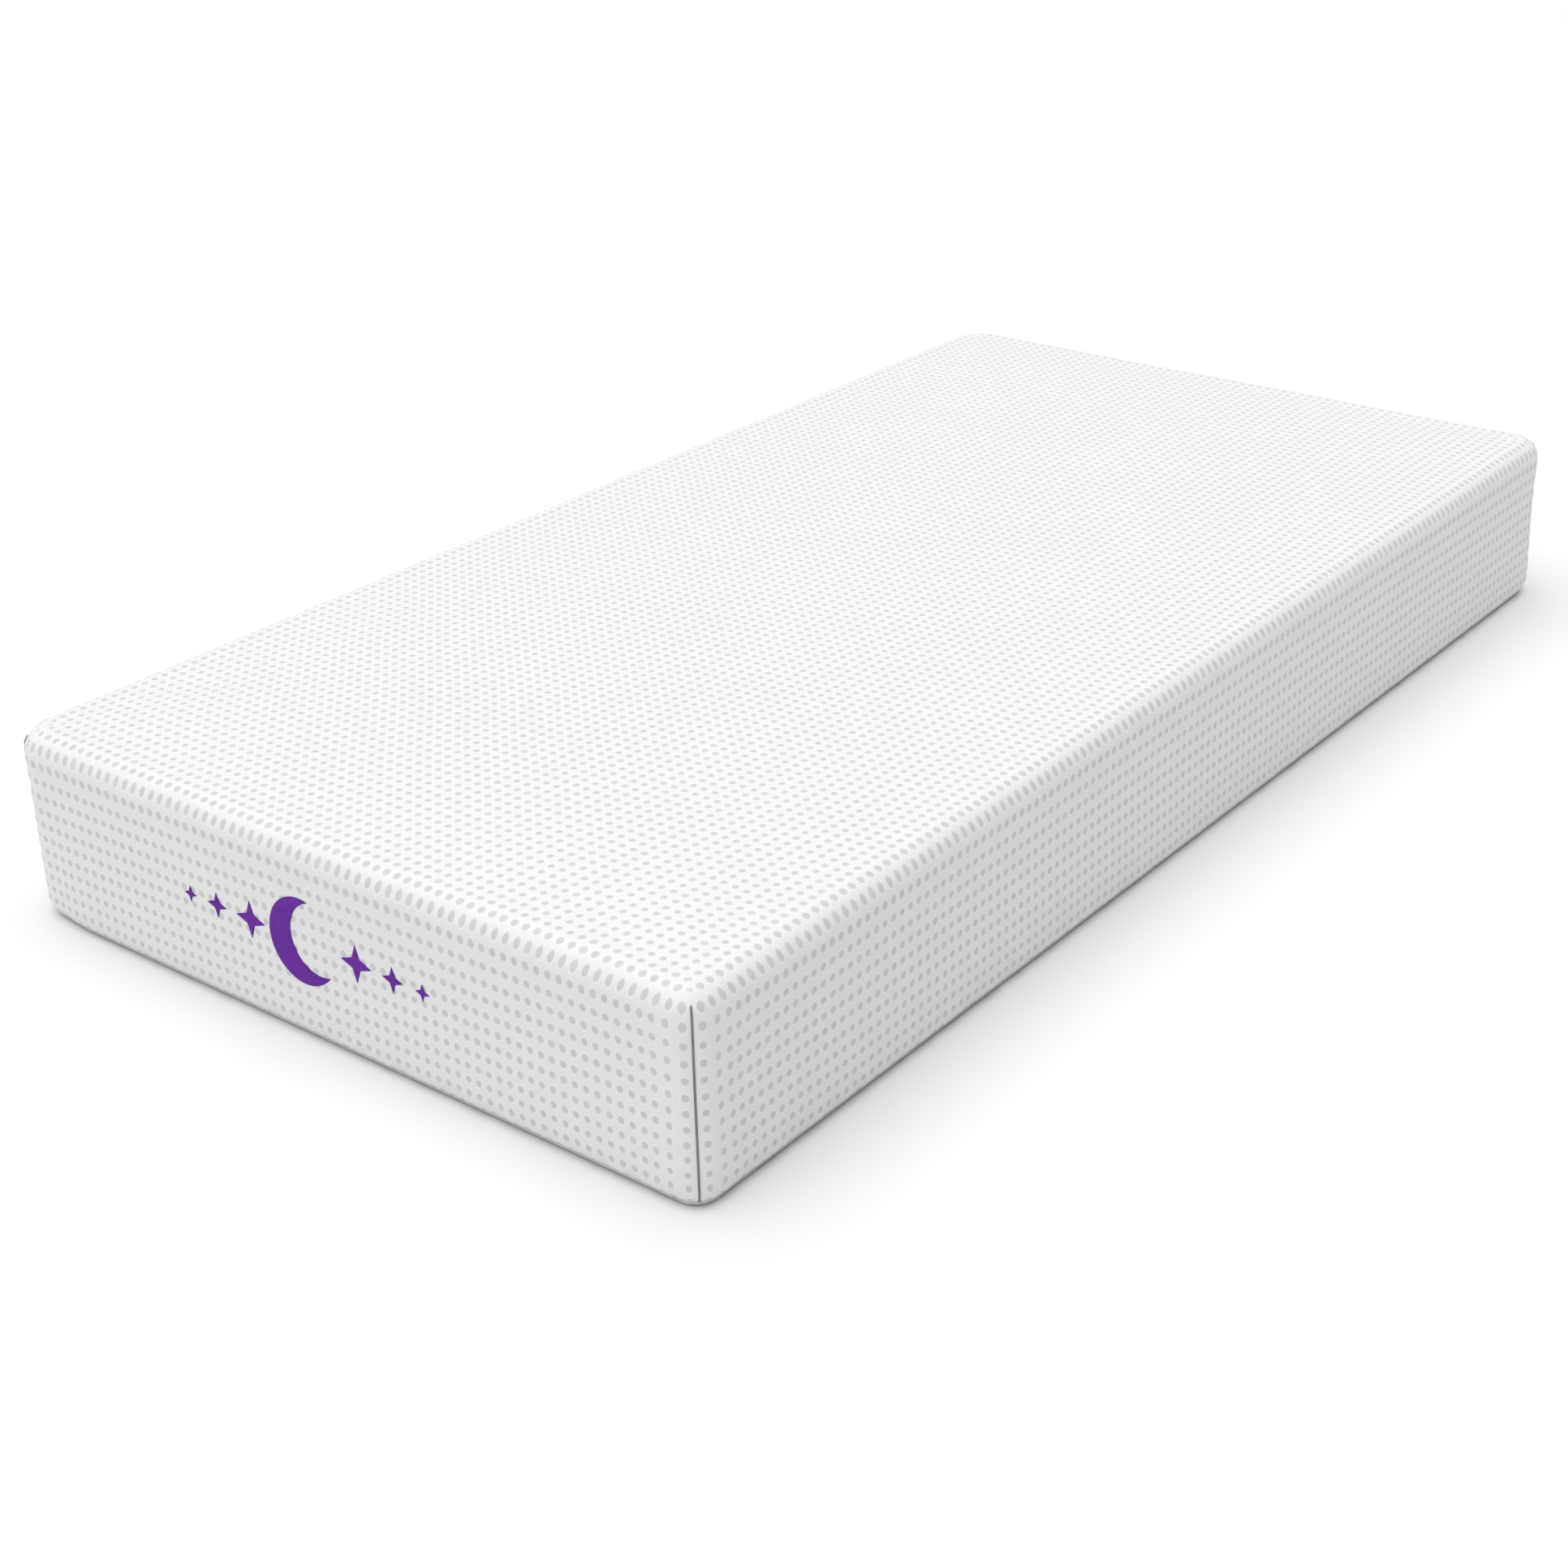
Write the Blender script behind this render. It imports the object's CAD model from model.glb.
import math
import bpy
import numpy as np
from mathutils import Matrix, Vector
from mathutils.bvhtree import BVHTree
from mathutils.kdtree import KDTree


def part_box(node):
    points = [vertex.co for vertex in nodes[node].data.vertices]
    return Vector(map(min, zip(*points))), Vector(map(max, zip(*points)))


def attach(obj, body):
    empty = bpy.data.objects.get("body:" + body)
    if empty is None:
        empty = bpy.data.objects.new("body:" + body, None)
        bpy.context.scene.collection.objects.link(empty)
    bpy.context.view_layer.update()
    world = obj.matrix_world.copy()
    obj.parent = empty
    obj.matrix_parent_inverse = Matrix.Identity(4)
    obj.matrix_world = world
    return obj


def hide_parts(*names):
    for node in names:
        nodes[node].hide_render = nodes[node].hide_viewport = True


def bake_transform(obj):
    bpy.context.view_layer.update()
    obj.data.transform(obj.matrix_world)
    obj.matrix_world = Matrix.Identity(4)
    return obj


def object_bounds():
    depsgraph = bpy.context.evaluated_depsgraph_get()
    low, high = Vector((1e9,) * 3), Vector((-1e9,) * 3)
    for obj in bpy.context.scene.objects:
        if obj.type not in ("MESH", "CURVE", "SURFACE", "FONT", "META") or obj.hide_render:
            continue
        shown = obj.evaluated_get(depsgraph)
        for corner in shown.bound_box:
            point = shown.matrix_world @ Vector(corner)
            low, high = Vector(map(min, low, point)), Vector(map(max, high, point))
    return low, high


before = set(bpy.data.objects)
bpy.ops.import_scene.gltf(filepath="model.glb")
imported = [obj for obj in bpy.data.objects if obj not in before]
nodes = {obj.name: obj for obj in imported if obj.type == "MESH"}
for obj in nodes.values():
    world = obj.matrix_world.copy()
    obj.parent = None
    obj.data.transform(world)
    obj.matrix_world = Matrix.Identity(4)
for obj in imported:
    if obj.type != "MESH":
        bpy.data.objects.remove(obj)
cadLow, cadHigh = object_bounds()
print("frame loaded")


# small tools
def pick(thing):  # the only selected object, and the active one
    bpy.ops.object.select_all(action="DESELECT")
    thing.select_set(True)
    bpy.context.view_layer.objects.active = thing


def newest(name):
    thing = bpy.context.object
    thing.name = name
    thing.data.name = name
    return thing


def placed(name, data):
    thing = bpy.data.objects.new(name, data)
    bpy.context.scene.collection.objects.link(thing)
    return thing


def settle(thing):  # puts the piece's place, turn and size into its mesh
    pick(thing)
    bpy.ops.object.transform_apply(location=True, rotation=True, scale=True)


def applyAll(thing):
    pick(thing)
    for modifier in list(thing.modifiers):
        bpy.ops.object.modifier_apply(modifier=modifier.name)


def points(thing):
    flat = np.zeros(len(thing.data.vertices) * 3)
    thing.data.vertices.foreach_get("co", flat)
    return flat.reshape(-1, 3)


def setPoints(thing, places):
    thing.data.vertices.foreach_set("co", places.ravel())
    thing.data.update()


def selectFaces(thing, test):  # edit mode is left off, so it is called in object mode
    mesh = thing.data
    mesh.vertices.foreach_set("select", [False] * len(mesh.vertices))
    mesh.edges.foreach_set("select", [False] * len(mesh.edges))
    mesh.polygons.foreach_set("select", [bool(test(face)) for face in mesh.polygons])


def editFaces(thing, test):
    pick(thing)
    selectFaces(thing, test)
    bpy.ops.object.mode_set(mode="EDIT")
    bpy.ops.mesh.select_mode(type="FACE")


def leaveEdit():
    bpy.ops.object.mode_set(mode="OBJECT")


def editAll(thing):
    pick(thing)
    bpy.ops.object.mode_set(mode="EDIT")
    bpy.ops.mesh.select_all(action="SELECT")


def flipAll(thing):
    editAll(thing)
    bpy.ops.mesh.flip_normals()
    leaveEdit()


def addGrid(name, cellsX, cellsY, size=1):
    bpy.ops.object.select_all(action="DESELECT")
    bpy.ops.mesh.primitive_grid_add(x_subdivisions=cellsX, y_subdivisions=cellsY, size=size)
    return newest(name)


def addModifier(thing, kind, **settings):
    pick(thing)
    bpy.ops.object.modifier_add(type=kind)
    for name, value in settings.items():
        setattr(thing.modifiers[-1], name, value)


def smoothBelow(degrees):  # the active piece's edges that turn less than this are shaded smooth
    bpy.ops.object.shade_smooth_by_angle(angle=math.radians(degrees))


def thicken(thing, thickness, offset=-1, degrees=60):
    addModifier(thing, "SOLIDIFY", thickness=thickness, offset=offset)
    applyAll(thing)
    smoothBelow(degrees)


def smooth(low, high, values):
    t = np.clip((values - low) / (high - low), 0, 1)
    return t * t * (3 - 2 * t)


def dress(thing, material):
    thing.data.materials.clear()
    thing.data.materials.append(material)


def finishPiece(thing, material, body="mattress", stands=()):
    dress(thing, material)
    if body:  # a piece that bends between two bodies has none of its own
        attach(thing, body)
    if stands:
        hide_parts(*stands)


def joined(things, name):
    bpy.ops.object.select_all(action="DESELECT")
    for thing in things:
        thing.select_set(True)
    bpy.context.view_layer.objects.active = things[0]
    bpy.ops.object.join()
    return newest(name)


# shader maths
class Wire:
    def __init__(self, socket):
        self.socket = socket

    def node(self, kind, settings=None, inputs=None, output=0):  # any node, in the same tree
        tree = self.socket.id_data
        made = tree.nodes.new(kind)
        for name, value in (settings or {}).items():
            if name == "stops":
                for stop, (place, colour) in zip(made.color_ramp.elements, value):
                    stop.position = place
                    stop.color = (*colour, 1)
            else:
                setattr(made, name, value)
        for place, value in (inputs or {}).items():
            if isinstance(value, Wire):
                tree.links.new(value.socket, made.inputs[place])
            else:
                made.inputs[place].default_value = value
        return Wire(made.outputs[output])

    def sum(self, operation, *values):
        return self.node("ShaderNodeMath", {"operation": operation}, dict(enumerate(values)))

    def __add__(self, other):
        return self.sum("ADD", self, other)

    def __radd__(self, other):
        return self.sum("ADD", other, self)

    def __sub__(self, other):
        return self.sum("SUBTRACT", self, other)

    def __rsub__(self, other):
        return self.sum("SUBTRACT", other, self)

    def __mul__(self, other):
        return self.sum("MULTIPLY", self, other)

    def __rmul__(self, other):
        return self.sum("MULTIPLY", other, self)


def startMaterial(name, roughness=0.8, metallic=0.0, sheen=0.0, coat=0.0):
    material = bpy.data.materials.new(name)
    material.use_nodes = True
    shader = material.node_tree.nodes["Principled BSDF"]
    shader.inputs["Roughness"].default_value = roughness
    shader.inputs["Metallic"].default_value = metallic
    shader.inputs["Sheen Weight"].default_value = sheen
    shader.inputs["Sheen Roughness"].default_value = 0.5
    shader.inputs["Coat Weight"].default_value = coat
    place = Wire(material.node_tree.nodes.new("ShaderNodeTexCoord").outputs["Object"])
    return material, shader, place


def plug(shader, name, wire):
    wire.socket.id_data.links.new(wire.socket, shader.inputs[name])


def tint(wire, low, high):  # a colour between low and high, by a 0 to 1 value
    return wire.node(
        "ShaderNodeMix", {"data_type": "RGBA"}, {0: wire, 6: (*low, 1), 7: (*high, 1)}, output=2
    )


def between(wire, low, high):  # 0 below low, 1 above high, smooth between them
    return wire.node(
        "ShaderNodeMapRange", {"interpolation_type": "SMOOTHSTEP"}, {0: wire, 1: low, 2: high}
    )


def bump(shader, height, strength, distance):
    raised = height.node(
        "ShaderNodeBump", None, {"Strength": strength, "Distance": distance, "Height": height}
    )
    plug(shader, "Normal", raised)


def grain(place, scale, detail=2.0):
    return place.node("ShaderNodeTexNoise", None, {"Vector": place, "Scale": scale, "Detail": detail})


def split(place):
    return [place.node("ShaderNodeSeparateXYZ", None, {0: place}, output=axis) for axis in range(3)]


# camera, floor and light
def makeStudio():
    view = {
        "eye": (1.7309, -2.3749, 1.3779), "turn": 2.2409, "dip": -0.4606, "roll": -0.022, "lens": 57.326,
        "floor": 45, "sky": 0.27, "backdrop": 0.99,
    }
    ahead = Vector(
        (
            math.cos(view["dip"]) * math.cos(view["turn"]),
            math.cos(view["dip"]) * math.sin(view["turn"]),
            math.sin(view["dip"]),
        )
    )
    level = ahead.cross(Vector((0, 0, 1))).normalized()
    above = level.cross(ahead)
    right = level * math.cos(view["roll"]) + above * math.sin(view["roll"])
    up = above * math.cos(view["roll"]) - level * math.sin(view["roll"])
    bpy.ops.object.camera_add(location=view["eye"])
    camera = newest("studio_camera")
    turned = Matrix((right, up, -ahead)).transposed().to_4x4()
    camera.matrix_world = Matrix.Translation(view["eye"]) @ turned
    camera.data.lens = view["lens"]
    camera.data.sensor_width = 36
    camera.data.clip_end = 200
    bpy.context.scene.camera = camera

    bpy.ops.mesh.primitive_circle_add(
        vertices=96, radius=view["floor"], fill_type="NGON", location=(0, 0, cadLow.z)
    )
    floor = newest("studio_floor")
    paint, shader, place = startMaterial("studio_floor", roughness=0.9)
    shade = tint(grain(place, 3.0), (0.892, 0.892, 0.893), (0.9, 0.9, 0.9))
    plug(shader, "Base Color", shade)
    dress(floor, paint)
    settle(floor)

    world = bpy.data.worlds.new("studio")
    bpy.context.scene.world = world
    world.use_nodes = True
    tree = world.node_tree
    sky = tree.nodes["Background"]
    sky.inputs["Color"].default_value = (1, 1, 1, 1)
    sky.inputs["Strength"].default_value = view["sky"]
    seen = Wire(tree.nodes.new("ShaderNodeLightPath").outputs["Is Camera Ray"])
    plain = seen.node("ShaderNodeBackground", None, {"Color": (1, 1, 1, 1), "Strength": view["backdrop"]})
    both = seen.node("ShaderNodeMixShader", None, {0: seen, 1: Wire(sky.outputs[0]), 2: plain})
    tree.links.new(both.socket, tree.nodes["World Output"].inputs["Surface"])

    for name, power, spread, lean in (
        ("overhead_light", 2.64, 80, (0.04, -0.1)),
        ("foot_light", 0.2, 60, (1.05, -0.1)),
    ):
        bpy.ops.object.light_add(type="SUN", location=(0, -1, 4), rotation=(lean[0], lean[1], 0))
        lamp = newest(name)
        lamp.data.energy = power
        lamp.data.angle = math.radians(spread)
    bpy.context.scene.view_settings.view_transform = "Standard"


makeStudio()
print("studio done")


# cover: one cloth cut like a cross, folded down and sewn up its four corners
cover = {
    "across": 69, "along": 133, "drop": 13, "tuck": 3,  # cells of the dotted knit, one dot to a cell
    "edgeRadius": 0.028, "softCorner": 0.054, "tightCorner": 0.029, "footRadius": 0.024, "pitch": 0.0142,
    "seamHeight": 0.0064, "rowPower": 0.87, "lastRow": 12.2,
    "dimple": 0.0007, "puff": 0.0032, "slack": 0.0012, "flare": 0.0045, "finer": 4,
}
half = Vector((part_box("cover_top")[1].x, -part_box("cover_top")[0].y, 0))
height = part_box("cover_top")[1].z
zipWall = {"ends": 0.8825, "low": 0.0205, "high": 0.0475, "sink": 0.0016}
creases = {"gather": 0.0007, "waves": 0.0006, "dips": 0.0003, "hem": 0.0006, "groove": 0.0013}
pressing = {
    "quality": 5, "mass": 0.25, "tension_stiffness": 40, "compression_stiffness": 40,
    "shear_stiffness": 10, "bending_stiffness": 2, "use_pressure": True,
    "uniform_pressure_force": 4, "vertex_group_mass": "held",
}
pressingSteps = 20


def sharpAcross(cells, most, side):  # lattice cells from the middle to metres on a square-edged block
    flat = side - cover["edgeRadius"]
    reach = flat + cover["edgeRadius"] * math.pi / 4
    run = np.abs(cells) * reach / most
    turn = np.clip((run - flat) / (reach - flat), 0, 1) * math.pi / 4
    return np.sign(cells) * np.where(run < flat, run, flat + cover["edgeRadius"] * np.tan(turn))


def dropDepth(row):  # metres below the square edge for a row down the side
    radius = cover["edgeRadius"]
    arc = radius * math.pi / 4
    path = arc + height - radius - cover["seamHeight"]
    run = path * (np.clip(row, 0, cover["lastRow"]) / cover["lastRow"]) ** cover["rowPower"]
    turn = np.clip(math.pi / 4 - run / radius, 0, math.pi / 4)
    return np.where(run < arc, radius * (1 - np.tan(turn)), radius + run - arc)


def footInset(level):  # how far the bottom edge curls in at a height above the floor
    radius = cover["footRadius"]
    left = np.clip(radius - level, 0, radius)
    return radius - np.sqrt(radius * radius - left * left)


def wallFlare(level):  # the wall settles outwards a little towards the floor
    return cover["flare"] * (1 - smooth(0.0, 0.17, level))


def cornerAt(x, y):  # the seam at the foot's right side pulls its corner tighter than the others
    return np.where((x > 0) & (y < 0), cover["tightCorner"], cover["softCorner"])


def rounded(x, y, depth, inset, foot=1):  # a square block's point to its place on the soft-edged block
    corner = cornerAt(x, y)
    radius = cover["edgeRadius"]
    coreX = np.clip(x, corner - half.x, half.x - corner)
    coreY = np.clip(y, corner - half.y, half.y - corner)
    outX = x - coreX
    outY = y - coreY
    reach = np.maximum(np.abs(outX), np.abs(outY))
    length = np.maximum(np.hypot(outX, outY), 1e-9)
    out = np.clip(reach - corner + radius, 0, None)
    rise = np.clip(radius - depth, 0, None)
    size = np.maximum(np.hypot(out, rise), 1e-9)
    edge = np.where((out > 0) & (rise > 0), corner - radius + radius * out / size, reach)
    raised = np.where(out > 0, radius * rise / size, radius)
    level = np.where(depth < radius, height - radius + raised, height - depth)
    zipSide = smooth(0.05, 0.1, x + half.x)  # the wall with the zip stays upright
    edge = edge - foot * np.where(level < cover["footRadius"], footInset(level), 0) - inset
    edge = edge + wallFlare(level) * np.where(depth > radius, 1, 0) * zipSide
    return np.stack((coreX + outX / length * edge, coreY + outY / length * edge, level), axis=1)


def cutCross(name, finer):  # the flat cloth, in lattice cells
    deep = cover["drop"] + cover["tuck"]
    cellsX = cover["across"] + 2 * deep
    cellsY = cover["along"] + 2 * deep
    cloth = addGrid(name, cellsX * finer, cellsY * finer)
    cloth.scale = (cellsX, cellsY, 1)
    settle(cloth)
    editFaces(
        cloth,
        lambda face: abs(face.center.x) > cover["across"] / 2 and abs(face.center.y) > cover["along"] / 2,
    )
    bpy.ops.mesh.delete(type="FACE")
    leaveEdit()
    return cloth


def foldDown(u, v):  # flat lattice places to the folded cover
    halfX = cover["across"] / 2
    halfY = cover["along"] / 2
    row = np.maximum(np.abs(u) - halfX, np.abs(v) - halfY).clip(0, None)
    edge = cover["drop"]
    drop = np.where(row >= edge, cover["lastRow"], row)
    tucked = np.interp(row, [edge, edge + 1, edge + 2, edge + 3], [0, 0.0018, 0.0035, 0.006])
    under = np.interp(row, [edge, edge + 1, edge + 2, edge + 3], [0, 0.0018, 0.0034, 0.0039])
    x = sharpAcross(np.clip(u, -halfX, halfX), halfX, half.x)
    y = sharpAcross(np.clip(v, -halfY, halfY), halfY, half.y)
    return rounded(x, y, np.where(row > 0, dropDepth(drop), 0) + under, tucked)


def sewUp(cloth):
    editAll(cloth)
    bpy.ops.mesh.remove_doubles(threshold=0.0005)
    bpy.ops.mesh.normals_make_consistent(inside=False)
    leaveEdit()


def meshNormals(thing):
    flat = np.zeros(len(thing.data.vertices) * 3)
    thing.data.vertices.foreach_get("normal", flat)
    return flat.reshape(-1, 3)


def pressOut(cage, rest):  # air pressure fills the closed cloth, which is held along its foot
    held = cage.vertex_groups.new(name="held")
    for index in np.nonzero(rest[:, 2] < cover["seamHeight"] + 0.0005)[0]:
        held.add([int(index)], 1.0, "REPLACE")
    pick(cage)
    bpy.ops.object.modifier_add(type="CLOTH")
    cloth = cage.modifiers["Cloth"]
    for name, value in pressing.items():
        setattr(cloth.settings, name, value)
    cloth.settings.effector_weights.gravity = 0
    cloth.collision_settings.use_collision = False
    cloth.point_cache.frame_start = 1
    cloth.point_cache.frame_end = pressingSteps
    for step in range(1, pressingSteps + 1):
        bpy.context.scene.frame_set(step)
    bpy.ops.object.modifier_apply(modifier="Cloth")
    bpy.context.scene.frame_set(1)


def fillCutouts(field, deep):  # the cut-out corners repeat the seam beside them
    last = [deep, field.shape[0] - 1 - deep], [deep, field.shape[1] - 1 - deep]
    for sideX in (0, 1):
        for sideY in (0, 1):
            for outX in range(1, deep + 1):
                for outY in range(1, deep + 1):
                    column = last[0][sideX] + (outX if sideX else -outX)
                    line = last[1][sideY] + (outY if sideY else -outY)
                    step = max(outX, outY)
                    field[column, line] = field[last[0][sideX], last[1][sideY] + (step if sideY else -step)]


def inflate():  # pressure from inside fills a coarse copy, and its movement is kept by lattice place
    cage = cutCross("cover_cage", 1)
    lattice = points(cage)
    deep = cover["drop"] + cover["tuck"]
    shape = (cover["across"] + 2 * deep + 1, cover["along"] + 2 * deep + 1)
    field = np.zeros((*shape, 3))
    folded = foldDown(lattice[:, 0], lattice[:, 1])
    setPoints(cage, folded)
    sewUp(cage)
    rest = points(cage)
    loose = smooth(cover["seamHeight"] + 0.001, 0.03, rest[:, 2])
    start = rest - meshNormals(cage) * (cover["slack"] * loose)[:, None]
    setPoints(cage, start)
    pressOut(cage, rest)
    moved = points(cage) - start
    length = np.linalg.norm(moved, axis=1)
    print("cloth moved", round(float(length.max()), 4), "middle", round(float(np.median(length)), 4))
    capped = cover["puff"] * np.tanh(length / cover["puff"])
    moved = start - rest + moved * (capped / np.maximum(length, 1e-9))[:, None]
    tree = KDTree(len(rest))
    for index, place in enumerate(rest):
        tree.insert(place, index)
    tree.balance()
    across = np.rint(lattice[:, 0] + shape[0] / 2 - 0.5).astype(int)
    along = np.rint(lattice[:, 1] + shape[1] / 2 - 0.5).astype(int)
    for place, column, line in zip(folded, across, along):
        field[column, line] = moved[tree.find(place)[1]]
    fillCutouts(field, deep)
    bpy.data.objects.remove(cage)
    return field


def spread(field, u, v):  # smooth values between the coarse copy's points
    total = np.zeros((len(u), 3))
    column = u + (field.shape[0] - 1) / 2
    line = v + (field.shape[1] - 1) / 2
    firstX = np.floor(column).astype(int)
    firstY = np.floor(line).astype(int)
    weights = []
    for part in (column - firstX, line - firstY):
        rest = 1 - part
        nearer = (3 * part**3 - 6 * part**2 + 4) / 6
        farther = (3 * rest**3 - 6 * rest**2 + 4) / 6
        weights.append((rest**3 / 6, nearer, farther, part**3 / 6))
    for a in range(4):
        for b in range(4):
            atX = np.clip(firstX + a - 1, 0, field.shape[0] - 1)
            atY = np.clip(firstY + b - 1, 0, field.shape[1] - 1)
            total += field[atX, atY] * (weights[0][a] * weights[1][b])[:, None]
    return total


def dotMap(u, v):  # where the knit's dot pattern lies on the cloth; whole numbers fall between dots
    halfX = cover["across"] / 2
    halfY = cover["along"] / 2
    rowX = np.clip(np.abs(u) - halfX, 0, None)
    rowY = np.clip(np.abs(v) - halfY, 0, None)
    row = np.maximum(rowX, rowY)
    drop = np.minimum(row, cover["lastRow"] + 0.001 * row)
    seamU = halfX - np.abs(np.clip(u, -halfX, halfX))
    seamV = halfY - np.abs(np.clip(v, -halfY, halfY))
    near = 0.5 * np.clip(row, 0, 1)
    mapU = np.where(rowX > 0, np.sign(u) * (halfX + drop), u)
    mapV = np.where(rowY > 0, np.sign(v) * (halfY + drop), v)
    mapU = mapU - np.where(rowY > 0, np.sign(u) * near * np.clip(1 - seamU / 3, 0, 1), 0)
    mapV = mapV - np.where(rowX > 0, np.sign(v) * near * np.clip(1 - seamV / 3, 0, 1), 0)
    onTop = np.clip(1 - rowX, 0, 1) * np.clip(1 - rowY, 0, 1)
    slipU = 0.33 * smooth(halfX - 22, halfX - 1, np.abs(u)) * onTop
    slipV = 0.33 * smooth(halfY - 22, halfY - 1, np.abs(v)) * onTop
    mapU = mapU - np.sign(u) * slipU  # the row on the fold hangs a little down the wall
    mapV = mapV - np.sign(v) * slipV
    mapU = mapU + 0.06 * np.sin(v * 0.31 + 1.3) * np.sin(u * 0.17) * smooth(0, 6, seamU + rowX)
    mapV = mapV + 0.07 * np.sin(u * 0.27 + 0.4) * np.sin(v * 0.13) * smooth(0, 6, seamV + rowY)
    seam = np.minimum(seamU + 99 * (rowY <= 0), seamV + 99 * (rowX <= 0))
    return mapU, mapV, row, rowX, rowY, seam


def dotStep(u, v, axis):  # metres from dot to dot along one way of the pattern
    small = 0.02
    moveU = np.where(axis == 0, small * np.where(u > 0, -1, 1), 0)
    moveV = np.where(axis == 1, small * np.where(v > 0, -1, 1), 0)
    moved = np.linalg.norm(foldDown(u + moveU, v + moveV) - foldDown(u, v), axis=1)
    run = np.abs(dotMap(u + moveU, v + moveV)[axis] - dotMap(u, v)[axis])
    return np.clip(moved / np.maximum(run, small * 0.3), 0.5 * cover["pitch"], 1.8 * cover["pitch"])


def dotShape(u, v, row, rowX, rowY, seamCells):  # the dots' radius in cells, and each cell's stretch
    size = np.interp(row, [0, 1, 5, 11, 12, 12.4, 12.8], [0.262, 0.288, 0.298, 0.265, 0.258, 0.0, 0.0])
    beyond = np.maximum(np.abs(u) - cover["across"] / 2, np.abs(v) - cover["along"] / 2)
    tall = np.interp(beyond, [-2, -0.5, 0.5, 2], [1, 1.3, 1.3, 1])  # dots are drawn taller over the fold
    stepU = dotStep(u, v, 0) / cover["pitch"] / np.where(rowX >= rowY, tall, 1)
    stepV = dotStep(u, v, 1) / cover["pitch"] / np.where(rowY >= rowX, tall, 1)
    size = size * np.clip(np.minimum(stepU, stepV) + 0.1, 0.6, 1)
    slim = 1 + 0.22 * (1 - smooth(0.9, 1.5, seamCells)) * smooth(0.3, 1.2, row)  # beside a seam
    stepU = stepU * np.where(rowY > rowX, slim, 1)
    stepV = stepV * np.where(rowX > rowY, slim, 1)
    return size, stepU, stepV


def zipShares(folded):  # 1 where the cloth opens for the zip, and 1 in the calmer cloth round it
    x, y, z = folded.T
    atZip = (
        smooth(-0.012, 0, zipWall["ends"] - np.abs(y)) * smooth(-0.004, 0.0, z - zipWall["low"] + 0.001)
        * smooth(-0.004, 0.0, zipWall["high"] - z + 0.001) * np.where(x < 0.001 - half.x, 1, 0)
    )
    byZip = (
        smooth(-0.09, -0.02, zipWall["ends"] - np.abs(y)) * smooth(-0.02, 0, z - zipWall["low"] + 0.004)
        * smooth(-0.03, 0, zipWall["high"] - z + 0.008) * np.where(x < 0.03 - half.x, 1, 0)
    )
    return atZip, byZip


def creaseLift(folded, row, seamCells):  # gathers, soft waves and the groove of each upright seam
    x, y, z = folded.T
    seam = np.hypot(half.x - np.abs(x), half.y - np.abs(y)) - 0.415 * cornerAt(x, y)
    upright = smooth(0.002, 0.03, height - z)
    gather = np.sin(z * 300 + 2 * np.sin(z * 61)) * np.exp(-(((seam - 0.007) / 0.011) ** 2))
    around = np.where(half.x - np.abs(x) < half.y - np.abs(y), y, x)
    hem = np.sin(around * 140 + 3 * np.sin(around * 19)) * np.exp(-(((z - 0.017) / 0.011) ** 2))
    waves = np.sin(x * 9 + 2 * np.sin(z * 14 + y * 3)) * np.sin(y * 7 + 1.7 * np.sin(x * 5 + z * 11))
    dips = np.sin(x * 23 + 1.3 * np.sin(y * 11)) * np.sin(y * 19 + z * 31 + np.sin(x * 13))
    above = smooth(cover["seamHeight"], 0.03, z)
    lift = above * (creases["gather"] * gather * upright + creases["waves"] * waves + creases["dips"] * dips)
    lift = lift + creases["hem"] * hem * smooth(cover["seamHeight"] + 0.001, 0.012, z)
    groove = np.exp(-((seamCells / 0.24) ** 2))
    return lift - creases["groove"] * groove * upright * smooth(0.3, 1.2, row)


def markDots(cloth, mapU, mapV, size, stepU, stepV):  # what the knit's material reads
    mesh = cloth.data
    corners = np.zeros(len(mesh.loops), dtype=np.int32)
    mesh.loops.foreach_get("vertex_index", corners)
    while mesh.uv_layers:
        mesh.uv_layers.remove(mesh.uv_layers[0])
    layer = mesh.uv_layers.new(name="dots")
    layer.data.foreach_set("uv", np.stack((mapU[corners], mapV[corners]), axis=1).ravel())
    sizes = mesh.attributes.new("dotSize", "FLOAT", "POINT")
    sizes.data.foreach_set("value", size)
    steps = mesh.attributes.new("dotStep", "FLOAT_VECTOR", "POINT")
    steps.data.foreach_set("vector", np.stack((stepU, stepV, stepU * 0), axis=1).ravel())


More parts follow.
